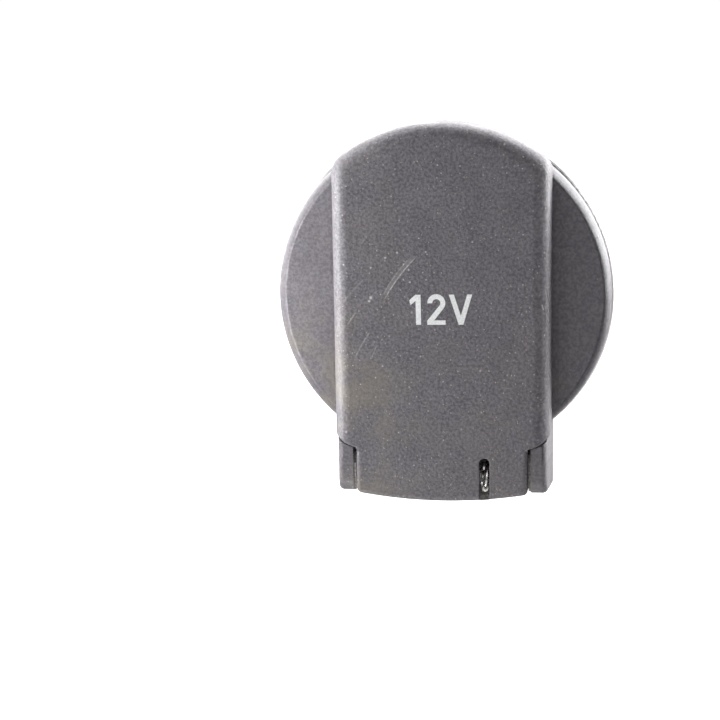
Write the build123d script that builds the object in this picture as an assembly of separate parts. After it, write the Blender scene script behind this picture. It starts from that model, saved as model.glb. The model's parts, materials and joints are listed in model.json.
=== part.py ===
# Car 12 V power socket with a sprung lid, in millimetres.
# +Y runs into the panel, -Y faces the user and +Z is up. The origin is on the socket's axis, in the
# plane where the sleeve's flange meets the panel.
import os
from math import acos, atan2, cos, degrees, hypot, radians, sin, sqrt, tan

from build123d import *

# The panel that the socket clips into
panel_hole_r = 14.1
panel_t = 2.5

# Fits
hole_play = 0.1  # sleeve in the panel's hole
slip = 0.1  # radial play between nested pieces
press = 0.02  # radial play of a pressed pin or rivet
pin_play = 0.06  # radial running clearance of the lid on its pin
lid_gap = 0.25  # lid to bezel, all round
ear_gap = 0.3  # lid to each hinge ear

# Plug bore: a drawn steel cup
bore_r = 10.5
barrel_l = 36.5
cup_end_l = 5.5  # the cup's drawn-in bottom, behind the bore
barrel_wall = 0.5
neck_r = 9.9
neck_lead = 1.0
barrel_round = 0.9
tab_w = 4.0
tab_l = 4.5
tab_y = 5.0
tab_deg = 90

# Mounting sleeve
sleeve_lip = 0.35  # the sleeve's flange stands past the bezel's rim by this much
sleeve_flange_t = 1.3
sleeve_l = 11.0
finger_count = 4
finger_deg = 30
finger_slot_deg = 4
barb_deg = 26
barb_h = 0.9
barb_l = 5.5
barb_land = 0.6
sleeve_lead = 0.4
nib_h = 0.7
nib_w = 5.0
nib_l = 2.5
nib_y = 6.5
nib_deg = 0

# Bezel
flange_r = 18.7
flange_t = 2.4
flange_round = 1.0
mouth_web = 2.6
mouth_round = 0.7
collar_wall = 1.2
collar_l = 13.0

# Lid
lid_w = 24.3
lid_t = 3.65
lid_wall = 1.6
lid_round = 1.8
lid_draft_deg = 4
lid_lip = 0.9  # the lid's top stands past the bezel's rim by this much
lid_top_r = 18.8
lid_corner_r = 2.4
seat_ring_r = 9.9
seat_ring_wall = 1.2
seat_ring_dip = 0.6  # the ring reaches this far into the mouth
lid_rib_t = 1.0
lid_rib_h = 1.4

# Hinge
hinge_drop = 1.95  # the pin's centre lies this far below the bezel's rim
hinge_inset = 2.8  # the pin's centre lies this far behind the lid's face
pin_r = 0.9
pin_l = 22.8
knuckle_r = 2.1
knuckle_w = 19.2
notch_h = 3.55  # the lid widens to its full width this far above the pin
ear_top_r = 4.64  # at the inner side; the ears' tops lie on a cone about the pin
ear_flare_deg = 16
ear_w = 2.4  # at the root; the ears narrow to the front
ear_front_w = 1.75
ear_root_h = 7.4
ear_toe_h = 1.38
ear_inset = 0.35  # the ears' fronts lie this far behind the lid's face
ear_toe_r = 1.8
ear_heel_r = 0.6
ear_round = 0.6
hinge_web_t = 0.7  # the wall behind the hinge, between the ears
toe_r = 0.5
skirt_corner_r = 0.6
skirt_edge_r = 0.25
skirt_sag = 0.85

# Lid spring
wire_r = 0.39
coil_r = 1.6
coil_x0 = 0.4
coil_x1 = 5.1
coil_turns = 5
spring_room = 0.15
slot_x = 4.8
slot_w = 1.15
slot_h = 2.97

# Contacts at the back
insulator_r = 4.8
insulator_t = 1.6
insulator_step_r = 3.1
contact_head_r = 3.2
contact_head_t = 1.8
contact_shank_r = 1.5
contact_tail_r = 2.4
contact_tail_t = 0.8
washer_r = 2.6
washer_t = 0.4
ground_x = -7.2
ground_shank_r = 1.0
ground_head_r = 1.7
ground_head_t = 0.8
ground_tail_t = 0.6

# Connector
blade_w = 6.3
blade_t = 0.8
blade_x = 4.5
eye_r_live = 2.8
eye_r_ground = 2.5
blade_l = 11.0
carrier_t = 2.5
shroud_w = 17.0
shroud_h = 9.8
shroud_wall = 1.2
shroud_l = 12.0
shroud_corner_r = 1.5
latch_w = 4.0
latch_h = 1.0
latch_l = 3.0

# Planes and radii that follow from the sizes above
bezel_back = -sleeve_flange_t
bezel_front = bezel_back - flange_t
lid_back = bezel_front - lid_gap
lid_front = lid_back - lid_t
barrel_front = bezel_front + mouth_web
barrel_back = barrel_front + barrel_l
bore_l = barrel_l - cup_end_l
barrel_r = bore_r + barrel_wall
collar_in_r = barrel_r + slip
collar_r = collar_in_r + collar_wall
sleeve_in_r = collar_r + slip
sleeve_r = panel_hole_r - hole_play
sleeve_flange_r = flange_r + sleeve_lip
hinge_y = lid_front + hinge_inset
hinge_z = -flange_r - hinge_drop
notch_z = hinge_z + notch_h
ear_front = lid_front + ear_inset
ear_x = knuckle_w / 2 + ear_gap
web_front = bezel_back - hinge_web_t
carrier_back = barrel_back + carrier_t
rivet_seat = carrier_back + blade_t
toe_z = hinge_z - knuckle_r
ear_toe_z = hinge_z - ear_toe_h
lid_top_z = flange_r + lid_lip
cup_floor = barrel_back - barrel_wall
insulator_front = cup_floor - insulator_t
spring_pocket = (coil_x0 - 1.1, coil_x1 + 1.3)


def front_plane(y):
    return Plane(origin=(0, y, 0), x_dir=(1, 0, 0), z_dir=(0, -1, 0))


def side_plane(x):
    return Plane(origin=(x, 0, 0), x_dir=(0, 1, 0), z_dir=(1, 0, 0))


def slab(sketch, y_back, y_front, draft_deg=0):
    # A sketch drawn as seen from the front, given thickness between two depths.
    return extrude(front_plane(y_back) * sketch, amount=y_back - y_front, taper=draft_deg)


def rod(r, y0, y1, x=0, z=0):
    return slab(Pos(x, z) * Circle(r), y1, y0)


def tube(r_out, r_in, y0, y1):
    return rod(r_out, y0, y1) - rod(r_in, y0, y1)


def rod_x(r, x0, x1, y, z):
    return extrude(side_plane(x0) * Pos(y, z) * Circle(r), amount=x1 - x0)


def box(x0, x1, y0, y1, z0, z1):
    return Pos((x0 + x1) / 2, (y0 + y1) / 2, (z0 + z1) / 2) * Box(x1 - x0, y1 - y0, z1 - z0)


def rect(x0, x1, z0, z1):
    return Pos((x0 + x1) / 2, (z0 + z1) / 2) * Rectangle(x1 - x0, z1 - z0)


def sector(r_out, r_in, y0, y1, mid_deg, wide_deg):
    half = make_face(Plane.XY * Polyline((r_in, y0), (r_out, y0), (r_out, y1), (r_in, y1), close=True))
    return Rot(0, -(mid_deg - wide_deg / 2), 0) * revolve(half, axis=Axis.Y, revolution_arc=-wide_deg)


def opposite(shape, first_deg):
    # A shape drawn on the +X side, set on two opposite sides of the socket's axis.
    return [Rot(0, first_deg + turn, 0) * shape for turn in (0, 180)]


def drawn(r, end_r, back, round_r):
    # Solid of a cup that narrows from one radius to another, rounded at the bottom.
    lead = barrel_front + bore_l
    half = Polyline(
        (0, barrel_front),
        (r, barrel_front),
        (r, lead),
        (end_r, lead + neck_lead),
        (end_r, back),
        (0, back),
        close=True,
    )
    cup = revolve(make_face(Plane.XY * half), axis=Axis.Y)
    return fillet(cup.edges().sort_by(Axis.Y)[-1], round_r)


def make_barrel():
    # Cup in two drawing steps, with two tabs lanced outwards that lock it into the bezel's collar.
    cup = drawn(barrel_r, neck_r + barrel_wall, barrel_back, barrel_round)
    cup -= drawn(bore_r, neck_r, cup_floor, barrel_round - barrel_wall)
    cup -= rod(insulator_step_r + slip, barrel_front, barrel_back)
    cup -= rod(ground_shank_r + press, barrel_front, barrel_back, x=ground_x)
    reach = collar_wall - slip
    tab = make_face(
        Plane.XY
        * Polyline(
            (bore_r, tab_y),
            (barrel_r, tab_y),
            (barrel_r + reach, tab_y + tab_l),
            (bore_r + reach, tab_y + tab_l),
            close=True,
        )
    )
    tab = extrude(tab, amount=tab_w / 2, both=True)
    window = box(0, barrel_r + slip, tab_y, tab_y + tab_l + 2 * slip, -tab_w / 2 - slip, tab_w / 2 + slip)
    window -= rod(bore_r - slip, tab_y, tab_y + tab_l + 2 * slip)
    for cut, piece in zip(opposite(window, tab_deg), opposite(tab, tab_deg)):
        cup = cup - cut + piece
    return cup


def make_sleeve():
    # Thin flange against the panel and a slotted sleeve with snap fingers through its hole.
    flange = fillet(rod(sleeve_flange_r, bezel_back, 0).edges(), sleeve_flange_t / 4)
    sleeve = flange + rod(sleeve_r, 0, sleeve_l) - rod(sleeve_in_r, bezel_back, sleeve_l)
    sleeve = chamfer(sleeve.edges().sort_by(Axis.Y)[-1], sleeve_lead)
    barb_y = panel_t + hole_play
    barb = make_face(
        Plane.XY
        * Polyline(
            (sleeve_r - barb_h / 2, barb_y),
            (sleeve_r + barb_h, barb_y),
            (sleeve_r + barb_h, barb_y + barb_land),
            (sleeve_r - barb_h / 2, barb_y + barb_l),
            close=True,
        )
    )
    barb = Rot(0, barb_deg / 2, 0) * revolve(barb, axis=Axis.Y, revolution_arc=-barb_deg)
    for i in range(finger_count):
        mid = 360 / finger_count * (i + 0.5)
        sleeve += Rot(0, -mid, 0) * barb
        for side in (-1, 1):
            at = mid + side * (finger_deg + finger_slot_deg) / 2
            slot_y = barb_y - barb_land
            sleeve -= sector(sleeve_r + barb_h, sleeve_in_r - 1, slot_y, sleeve_l, at, finger_slot_deg)
    gap = 2 * slip
    window = box(0, sleeve_r + 1, nib_y - gap, nib_y + nib_l + gap, -nib_w / 2 - gap, nib_w / 2 + gap)
    for cut in opposite(window, nib_deg):
        sleeve -= cut
    return sleeve


def ear_cone(play):
    # Cone about the right-hand ear and the pin: the ear's top or, with play, the room the lid leaves it.
    inner_r = ear_top_r + play
    outer_r = inner_r + ear_w * 2 * tan(radians(ear_flare_deg))
    cone = Cone(inner_r, outer_r, ear_w * 2, align=(Align.CENTER, Align.CENTER, Align.MIN))
    return Plane(origin=(knuckle_w / 2, hinge_y, hinge_z), z_dir=(1, 0, 0)) * cone


def hinge_side(root_z):
    # Side view of the hinge block, rounded at its toe and its heel.
    side = Polyline(
        (bezel_back, root_z),
        (bezel_back, ear_toe_z),
        (ear_front, ear_toe_z),
        (ear_front, root_z),
        close=True,
    )
    profile = make_face(Plane.XY * side)
    toe, heel = profile.vertices().group_by(Axis.Y)[0].sort_by(Axis.X)
    return fillet(heel, ear_heel_r) & fillet(toe, ear_toe_r)


def make_ear():
    # Right-hand hinge ear: a lug in front of the rim that narrows to the front, on a root in the flange.
    root_z = hinge_z + ear_root_h
    plan = Polyline(
        (ear_x, bezel_back),
        (ear_x + ear_w, bezel_back),
        (ear_x + ear_front_w, ear_front),
        (ear_x, ear_front),
        close=True,
    )
    ear = extrude(side_plane(ear_x) * hinge_side(root_z), amount=ear_w)
    ear &= extrude(Pos(0, 0, ear_toe_z) * make_face(Plane.XY * plan), amount=root_z - ear_toe_z)
    outer = ear.faces().sort_by(Axis.X)[-1]
    rim = [e for e in outer.edges() if e.center().Z < root_z - 0.1 and e.center().Y < bezel_back - 0.1]
    ear = fillet(rim, ear_round)
    root = ear & box(ear_x, ear_x + ear_w, bezel_front, bezel_back, ear_toe_z, root_z)
    return root + (ear & ear_cone(0))


def make_bezel():
    flange = rod(flange_r, bezel_front, bezel_back)
    flange = fillet(flange.edges().sort_by(Axis.Y)[0], flange_round)
    flange -= box(-ear_x, ear_x, bezel_front - 1, web_front, -flange_r - 1, notch_z - lid_gap)
    ear = make_ear()
    web = extrude(side_plane(-ear_x) * hinge_side(notch_z), amount=2 * ear_x)
    web &= box(-ear_x, ear_x, web_front, bezel_back, ear_toe_z, notch_z)
    flange += ear + mirror(ear, about=Plane.YZ) + web
    bezel = flange + rod(collar_r, bezel_back, collar_l)
    bezel -= rod(collar_in_r, barrel_front, collar_l)
    bezel -= rod(bore_r, bezel_front, barrel_front)
    mouth = [
        e
        for e in bezel.edges().filter_by(GeomType.CIRCLE)
        if abs(e.center().Y - bezel_front) < 1e-6 and abs(e.radius - bore_r) < 1e-6
    ]
    bezel = fillet(mouth, mouth_round)
    gap = 2 * slip
    window = box(0, collar_r + 1, tab_y - gap, tab_y + tab_l + gap, -tab_w / 2 - gap, tab_w / 2 + gap)
    nib = make_face(
        Plane.XY
        * Polyline(
            (collar_r - 0.4, nib_y),
            (collar_r + nib_h, nib_y),
            (collar_r - 0.4, nib_y + nib_l),
            close=True,
        )
    )
    nib = extrude(nib, amount=nib_w / 2, both=True)
    for cut, catch in zip(opposite(window, tab_deg), opposite(nib, nib_deg)):
        bezel = bezel + catch - cut
    bezel -= rod_x(pin_r + press, -ear_x - ear_w, pin_l / 2, hinge_y, hinge_z)
    return bezel


def lid_panel():
    # Front view of the lid above the hinge: straight sides under a crown that follows the bezel's rim.
    arc_z = lid_top_z - lid_top_r
    half_w = lid_w / 2
    crown = Pos(0, arc_z) * Circle(lid_top_r) & rect(-half_w, half_w, arc_z, lid_top_z)
    panel = crown + rect(-half_w, half_w, notch_z, arc_z)
    return fillet(panel.vertices().filter_by(lambda v: v.Y > arc_z + 1), lid_corner_r)


def lid_tongue():
    # Front view of the part between the hinge ears, with a bowed lower edge.
    half_w = knuckle_w / 2
    sag_r = half_w**2 / (2 * skirt_sag)
    tongue = rect(-half_w, half_w, toe_z - 1, notch_z + lid_wall) & Pos(0, toe_z + sag_r) * Circle(sag_r)
    return fillet(tongue.vertices().group_by(Axis.Y)[0], skirt_corner_r)


def lid_hollow(panel):
    # Front view of the hollow behind the lid's face, kept a wall away from the ears' room.
    half_w = lid_w / 2
    corner_x = knuckle_w / 2 - lid_wall
    corner_z = hinge_z + ear_top_r + lid_gap + lid_wall
    hollow = offset(panel, -lid_wall, kind=Kind.INTERSECTION)
    return hollow - rect(corner_x, half_w, notch_z, corner_z) - rect(-half_w, -corner_x, notch_z, corner_z)


def make_lid():
    panel = lid_panel()
    tongue = lid_tongue()
    floor_y = lid_front + lid_wall
    half_w = lid_w / 2

    plate = slab(panel, lid_back, lid_front, lid_draft_deg)
    rim = [e for e in plate.faces().sort_by(Axis.Y)[0].edges() if e.center().Z > notch_z + lid_wall]
    plate = fillet(rim, lid_round)
    plate -= slab(lid_hollow(panel), lid_back, floor_y)
    room = ear_cone(lid_gap)
    plate -= room + mirror(room, about=Plane.YZ)

    ring = tube(seat_ring_r, seat_ring_r - seat_ring_wall, floor_y, bezel_front + seat_ring_dip)
    cross = rect(-half_w + 1, half_w - 1, -lid_rib_t / 2, lid_rib_t / 2)
    cross += rect(-lid_rib_t / 2, lid_rib_t / 2, 0, lid_top_z - 1)
    ribs = slab(cross - Circle(seat_ring_r - seat_ring_wall / 2), floor_y + lid_rib_h, floor_y)

    skirt = slab(tongue, hinge_y, lid_front)
    toe_top = toe_z + skirt_sag + skirt_corner_r
    toe = [e for e in skirt.faces().sort_by(Axis.Y)[0].edges() if e.center().Z < toe_top]
    skirt = fillet(toe, toe_r)
    plan = Pos(0, (lid_front + hinge_y) / 2) * Rectangle(knuckle_w, hinge_inset)
    plan = fillet(plan.vertices().group_by(Axis.Y)[0], skirt_edge_r)
    skirt &= extrude(Pos(0, 0, toe_z - 1) * plan, amount=notch_z + 2 * lid_wall - toe_z)
    knuckle = rod_x(knuckle_r, -knuckle_w / 2, knuckle_w / 2, hinge_y, hinge_z) & slab(tongue, 0, lid_front)
    lid = plate + ring + ribs + skirt + knuckle

    lid -= rod_x(pin_r + pin_play, -lid_w, lid_w, hinge_y, hinge_z)
    pocket_front = hinge_y - coil_r - wire_r - spring_room
    slot_top = hinge_z + slot_h - slot_w / 2
    lid -= box(*spring_pocket, pocket_front, 0, toe_z - 1, notch_z)
    slot = rect(slot_x - slot_w / 2, slot_x + slot_w / 2, toe_z - 1, slot_top)
    slot += Pos(slot_x, slot_top) * Circle(slot_w / 2)
    lid -= slab(slot, pocket_front, lid_front)
    lid -= box(spring_pocket[0], coil_x0 + 1, floor_y, hinge_y, notch_z - 1, notch_z + lid_wall)
    return lid


def leaves_coil(dy, dz, side):
    # Angle about the pin at which a straight leg to the point (dy, dz) leaves the coil.
    return degrees(atan2(dz, dy) + side * acos(coil_r / hypot(dy, dz)))


def make_spring():
    # Torsion spring round the pin: its left leg lies in front of the lid's bridge and closes the lid,
    # its right leg bears up against the bezel's cut-off edge.
    lid_leg = (-1.1 * wire_r - press, notch_z - hinge_z)
    bezel_leg = ((bezel_front + web_front) / 2 - hinge_y, notch_z - lid_gap - wire_r - slip - hinge_z)
    start = leaves_coil(*lid_leg, -1)
    turned = start - leaves_coil(*bezel_leg, 1) + 360 * coil_turns
    place = Plane(
        origin=(coil_x0, hinge_y, hinge_z),
        x_dir=(0, cos(radians(start)), sin(radians(start))),
        z_dir=(1, 0, 0),
    )
    height = coil_x1 - coil_x0
    coil = place * Helix(height * 360 / turned, height, coil_r, lefthand=True)
    lid_l = sqrt(hypot(*lid_leg) ** 2 - coil_r**2) + lid_wall / 2
    bezel_l = sqrt(hypot(*bezel_leg) ** 2 - coil_r**2)
    first = Line(coil @ 0 - (coil % 0) * lid_l, coil @ 0)
    last = Line(coil @ 1, coil @ 1 + (coil % 1) * bezel_l)
    runs = coil_turns + 1
    turns = [coil.trim(i / runs, (i + 1) / runs) for i in range(runs)]
    section = Plane(origin=first @ 0, z_dir=first % 0) * Circle(wire_r)
    return sweep(section, path=Wire([first, *turns, last]))


def make_insulator():
    washer = rod(insulator_r, insulator_front, cup_floor) + rod(insulator_step_r, cup_floor, barrel_back)
    washer = fillet(washer.edges().sort_by(Axis.Y)[0], insulator_t / 4)
    return washer - rod(contact_shank_r + slip, insulator_front, barrel_back)


def make_centre_contact():
    head = rod(contact_head_r, insulator_front - contact_head_t, insulator_front)
    head = fillet(head.edges().sort_by(Axis.Y)[0], contact_head_t * 0.8)
    tail_y = rivet_seat + washer_t
    tail = rod(contact_tail_r, tail_y, tail_y + contact_tail_t)
    tail = fillet(tail.edges().sort_by(Axis.Y)[-1], contact_tail_t * 0.6)
    return head + rod(contact_shank_r, insulator_front, tail_y) + tail


def make_washer():
    return tube(washer_r, contact_shank_r + slip, rivet_seat, rivet_seat + washer_t)


def make_ground_rivet():
    head = rod(ground_head_r, cup_floor - ground_head_t, cup_floor, x=ground_x)
    head = fillet(head.edges().sort_by(Axis.Y)[0], ground_head_t * 0.7)
    tail_y = barrel_back + blade_t
    tail = rod(ground_head_r, tail_y, tail_y + ground_tail_t, x=ground_x)
    return head + rod(ground_shank_r, cup_floor, tail_y, x=ground_x) + tail


def make_terminal(eye_x, eye_r, hole_r, y, x):
    # Blade bent off an eyelet: the eyelet lies across the socket's axis, the blade runs backwards.
    side = 1 if x > eye_x else -1
    outer = x + side * blade_t / 2
    strip = Pos(eye_x, 0) * Circle(eye_r) + rect(*sorted((eye_x, outer)), -eye_r, eye_r)
    eyelet = slab(strip, y + blade_t, y)
    tip = carrier_back + blade_l
    blade = box(x - blade_t / 2, x + blade_t / 2, y, tip, -blade_w / 2, blade_w / 2)
    ends = [e for e in blade.edges().filter_by(Axis.X) if e.center().Y > tip - 0.1]
    blade = chamfer(ends, blade_t)
    terminal = eyelet + blade
    bend = [
        e
        for e in terminal.edges().filter_by(Axis.Z)
        if abs(e.center().Y - y) < 1e-6 and abs(e.center().X - outer) < 1e-6
    ]
    return fillet(bend, blade_t * 0.8) - rod(hole_r, y, y + blade_t, x=eye_x)


def make_connector():
    # Rear moulding, riveted to the cup's bottom: a carrier disc and an open two-way shroud.
    carrier = rod(barrel_r, barrel_back, carrier_back)
    carrier = fillet(carrier.edges().sort_by(Axis.Y)[-1], carrier_t / 3)
    outer = RectangleRounded(shroud_w, shroud_h, shroud_corner_r)
    inner = RectangleRounded(
        shroud_w - 2 * shroud_wall, shroud_h - 2 * shroud_wall, shroud_corner_r - shroud_wall / 2
    )
    body = carrier + slab(outer - inner, carrier_back + shroud_l, carrier_back)
    top = shroud_h / 2
    latch = make_face(
        Plane.YZ
        * Polyline(
            (carrier_back + shroud_l - 2 * latch_l, top - 0.3),
            (carrier_back + shroud_l - 2 * latch_l, top + latch_h),
            (carrier_back + shroud_l - latch_l, top - 0.3),
            close=True,
        )
    )
    body += extrude(latch, amount=latch_w / 2, both=True)
    body -= rod(contact_shank_r + slip, barrel_back, carrier_back)
    seat = Pos(ground_x, 0) * Circle(eye_r_ground + slip)
    seat += rect(ground_x, -blade_x + blade_t / 2 + slip, -eye_r_ground - slip, eye_r_ground + slip)
    slot = rect(
        -blade_x - blade_t / 2 - slip, -blade_x + blade_t / 2 + slip, -blade_w / 2 - slip, blade_w / 2 + slip
    )
    body -= slab(seat, barrel_back + blade_t, barrel_back)
    body -= slab(slot, carrier_back, barrel_back)
    tail_back = barrel_back + blade_t + ground_tail_t
    return body - rod(ground_head_r + slip, barrel_back, tail_back + slip, x=ground_x)


def make_pin():
    pin = rod_x(pin_r, -pin_l / 2, pin_l / 2, hinge_y, hinge_z)
    return chamfer(pin.edges().filter_by(GeomType.CIRCLE), pin_r / 4)


pieces = {
    "bezel": make_bezel(),
    "lid": make_lid(),
    "hinge_pin": make_pin(),
    "lid_spring": make_spring(),
    "mounting_sleeve": make_sleeve(),
    "contact_barrel": make_barrel(),
    "contact_insulator": make_insulator(),
    "centre_contact": make_centre_contact(),
    "rivet_washer": make_washer(),
    "ground_rivet": make_ground_rivet(),
    "positive_terminal": make_terminal(0, eye_r_live, contact_shank_r + slip, carrier_back, blade_x),
    "negative_terminal": make_terminal(ground_x, eye_r_ground, ground_shank_r + press, barrel_back, -blade_x),
    "connector_housing": make_connector(),
}

os.makedirs("parts", exist_ok=True)
for name, shape in pieces.items():
    export_step(shape, f"parts/{name}.step")
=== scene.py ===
import json
import math

import bmesh
import bpy
from mathutils import Matrix, Vector
from mathutils import noise as turbulence


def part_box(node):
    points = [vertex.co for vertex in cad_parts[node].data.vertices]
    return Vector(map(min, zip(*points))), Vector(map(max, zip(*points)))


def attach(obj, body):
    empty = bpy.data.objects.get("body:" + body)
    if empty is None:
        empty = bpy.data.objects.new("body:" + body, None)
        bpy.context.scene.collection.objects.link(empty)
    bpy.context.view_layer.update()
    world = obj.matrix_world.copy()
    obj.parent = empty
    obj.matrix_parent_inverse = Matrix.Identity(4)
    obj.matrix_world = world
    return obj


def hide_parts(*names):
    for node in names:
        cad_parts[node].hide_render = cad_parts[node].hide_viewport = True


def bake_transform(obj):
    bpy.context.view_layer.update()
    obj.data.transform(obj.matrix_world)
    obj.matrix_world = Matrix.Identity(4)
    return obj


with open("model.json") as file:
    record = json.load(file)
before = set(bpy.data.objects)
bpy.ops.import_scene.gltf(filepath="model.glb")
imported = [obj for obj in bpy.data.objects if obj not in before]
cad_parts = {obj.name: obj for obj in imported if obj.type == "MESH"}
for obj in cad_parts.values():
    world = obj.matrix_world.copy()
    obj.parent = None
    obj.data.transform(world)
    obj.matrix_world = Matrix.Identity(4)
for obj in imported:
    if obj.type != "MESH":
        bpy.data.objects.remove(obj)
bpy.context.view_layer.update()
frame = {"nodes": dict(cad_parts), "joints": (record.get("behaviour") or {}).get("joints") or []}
nodes = frame["nodes"]
mm = 0.001
print("frame loaded:", len(nodes), "solids")


# small helpers for node trees

def plug(tree, socket, value):
    if isinstance(value, bpy.types.NodeSocket):
        tree.links.new(value, socket)
    else:
        socket.default_value = value


def addNode(tree, kind, inputs=None, **settings):
    node = tree.nodes.new(kind)
    for name, value in settings.items():
        setattr(node, name, value)
    for name, value in (inputs or {}).items():
        plug(tree, node.inputs[name], value)
    return node


def calc(tree, operation, *values, clamp=False):
    node = addNode(tree, "ShaderNodeMath", operation=operation, use_clamp=clamp)
    for socket, value in zip(node.inputs, values):
        plug(tree, socket, value)
    return node.outputs[0]


def vectorCalc(tree, operation, *values):
    node = addNode(tree, "ShaderNodeVectorMath", operation=operation)
    for socket, value in zip(node.inputs, values):
        plug(tree, socket, value)
    return node.outputs["Value" if operation in ("DOT_PRODUCT", "LENGTH") else "Vector"]


def remap(tree, value, low, high, newLow=0.0, newHigh=1.0):
    node = addNode(tree, "ShaderNodeMapRange", interpolation_type="SMOOTHSTEP")
    names = ("Value", "From Min", "From Max", "To Min", "To Max")
    for name, given in zip(names, (value, low, high, newLow, newHigh)):
        plug(tree, node.inputs[name], given)
    return node.outputs["Result"]


def mixColour(tree, factor, first, second):
    node = addNode(tree, "ShaderNodeMix", data_type="RGBA")
    for index, value in ((0, factor), (6, first), (7, second)):  # a Mix node's factor and its two colours
        plug(tree, node.inputs[index], value)
    return node.outputs[2]


def noise(tree, vector, scale, detail=3.0, rough=0.55):
    inputs = {"Vector": vector, "Scale": scale, "Detail": detail, "Roughness": rough}
    return addNode(tree, "ShaderNodeTexNoise", inputs).outputs["Fac"]


def raggedness(tree, vector, scale):
    return addNode(tree, "ShaderNodeTexNoise", {"Vector": vector, "Scale": scale}).outputs["Color"]


def toMm(tree, vector):
    return vectorCalc(tree, "MULTIPLY", vector, (1 / mm, 1 / mm, 1 / mm))


def toFaceMm(tree, vector):  # the same across the front, with the depth dropped
    return vectorCalc(tree, "MULTIPLY", vector, (1 / mm, 0.0, 1 / mm))


def axesOf(tree, vector):
    return addNode(tree, "ShaderNodeSeparateXYZ", {"Vector": vector}).outputs


def awayFromFront(tree, normal):  # 0 where a face looks straight to the front or back, 1 at its sides
    return vectorCalc(tree, "LENGTH", vectorCalc(tree, "MULTIPLY", normal, (1.0, 0.0, 1.0)))


def newGroup(name, inputs, outputs):
    tree = bpy.data.node_groups.new(name, "ShaderNodeTree")
    for label, value in inputs.items():
        kind = "NodeSocketFloat" if isinstance(value, float) else "NodeSocketVector"
        tree.interface.new_socket(label, in_out="INPUT", socket_type=kind).default_value = value
    for label in outputs:
        kind = "NodeSocketVector" if label == "Normal" else "NodeSocketFloat"
        tree.interface.new_socket(label, in_out="OUTPUT", socket_type=kind)
    return tree, tree.nodes.new("NodeGroupInput").outputs, tree.nodes.new("NodeGroupOutput").inputs


def useGroup(tree, name, **inputs):
    node = addNode(tree, "ShaderNodeGroup", node_tree=bpy.data.node_groups[name])
    for label, value in inputs.items():
        plug(tree, node.inputs[label], value)
    return node.outputs


# shared effects, all sizes in millimetres on the surface

origin = (0.0, 0.0, 0.0)
bevelSamples = 6

mouldGrain = dict(
    fineDetail=2.0, fineRough=0.6, fineSpan=(0.32, 0.68), fineDepth=0.7,
    coarseScale=0.35, coarseDetail=2.0, coarseDepth=0.5,
    cloudPerMm=0.35, cloudDetail=4.0, cloudSpan=(0.3, 0.7),
)


def buildMouldGrain():  # the fine eroded skin of a moulded face
    g = mouldGrain
    inputs = {"Vector": origin, "perMm": 4.0}
    tree, given, made = newGroup("mouldGrain", inputs, ("Height", "Fine", "Cloud"))
    place = toMm(tree, given["Vector"])
    fine = noise(tree, place, given["perMm"], g["fineDetail"], g["fineRough"])
    coarse = noise(tree, place, calc(tree, "MULTIPLY", given["perMm"], g["coarseScale"]), g["coarseDetail"])
    fineHeight = calc(tree, "MULTIPLY", fine, g["fineDepth"])
    plug(tree, made["Height"], calc(tree, "MULTIPLY_ADD", coarse, g["coarseDepth"], fineHeight))
    plug(tree, made["Fine"], remap(tree, fine, *g["fineSpan"]))
    cloud = noise(tree, place, g["cloudPerMm"], g["cloudDetail"])
    plug(tree, made["Cloud"], remap(tree, cloud, *g["cloudSpan"]))


# least and spread: how the grains differ in size and in cover
dustSpecks = dict(raggedPerMm=8.0, ragged=0.16, least=0.3, spread=0.7, edge=(0.55, 1.0), shades=7.0)


def buildDustSpecks():  # scattered grains, some tan and some pale
    d = dustSpecks
    inputs = {"Vector": origin, "spacing": 0.6, "size": 0.1, "share": 0.5}
    tree, given, made = newGroup("dustSpecks", inputs, ("Mask", "Shade"))
    place = toMm(tree, given["Vector"])
    ragged = raggedness(tree, place, d["raggedPerMm"])
    place = vectorCalc(tree, "MULTIPLY_ADD", ragged, (d["ragged"], d["ragged"], d["ragged"]), place)
    perMm = calc(tree, "DIVIDE", 1.0, given["spacing"])
    cells = addNode(tree, "ShaderNodeTexVoronoi", {"Vector": place, "Scale": perMm}).outputs
    drawn = addNode(tree, "ShaderNodeSeparateColor", {"Color": cells["Color"]}).outputs
    away = calc(tree, "MULTIPLY", cells["Distance"], given["spacing"])
    sizeShare = calc(tree, "MULTIPLY_ADD", drawn["Red"], d["spread"], d["least"])
    size = calc(tree, "MULTIPLY", given["size"], sizeShare)
    grain = remap(tree, calc(tree, "DIVIDE", away, size), *d["edge"], 1.0, 0.0)
    coverShare = calc(tree, "MULTIPLY_ADD", drawn["Blue"], d["spread"], d["least"])
    grain = calc(tree, "MULTIPLY", grain, coverShare)
    chosen = calc(tree, "LESS_THAN", drawn["Green"], given["share"])
    plug(tree, made["Mask"], calc(tree, "MULTIPLY", grain, chosen))
    plug(tree, made["Shade"], calc(tree, "FRACT", calc(tree, "MULTIPLY", drawn["Blue"], d["shades"])))


dustGrain = dict(raggedPerMm=7.0, ragged=0.12, edge=(0.1, 1.0))


def buildDustGrain():  # one larger grain at a known place on the lid's face
    d = dustGrain
    inputs = {"Vector": origin, "at": origin, "size": 0.1}
    tree, given, made = newGroup("dustGrain", inputs, ("Mask",))
    place = toFaceMm(tree, given["Vector"])
    ragged = raggedness(tree, place, d["raggedPerMm"])
    shift = -0.5 * d["ragged"]  # keeps the grain centred
    ragged = vectorCalc(tree, "MULTIPLY_ADD", ragged, (d["ragged"], 0.0, d["ragged"]), (shift, 0.0, shift))
    away = vectorCalc(tree, "ADD", vectorCalc(tree, "SUBTRACT", place, given["at"]), ragged)
    away = calc(tree, "DIVIDE", vectorCalc(tree, "LENGTH", away), given["size"])
    plug(tree, made["Mask"], remap(tree, away, *d["edge"], 1.0, 0.0))


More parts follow.
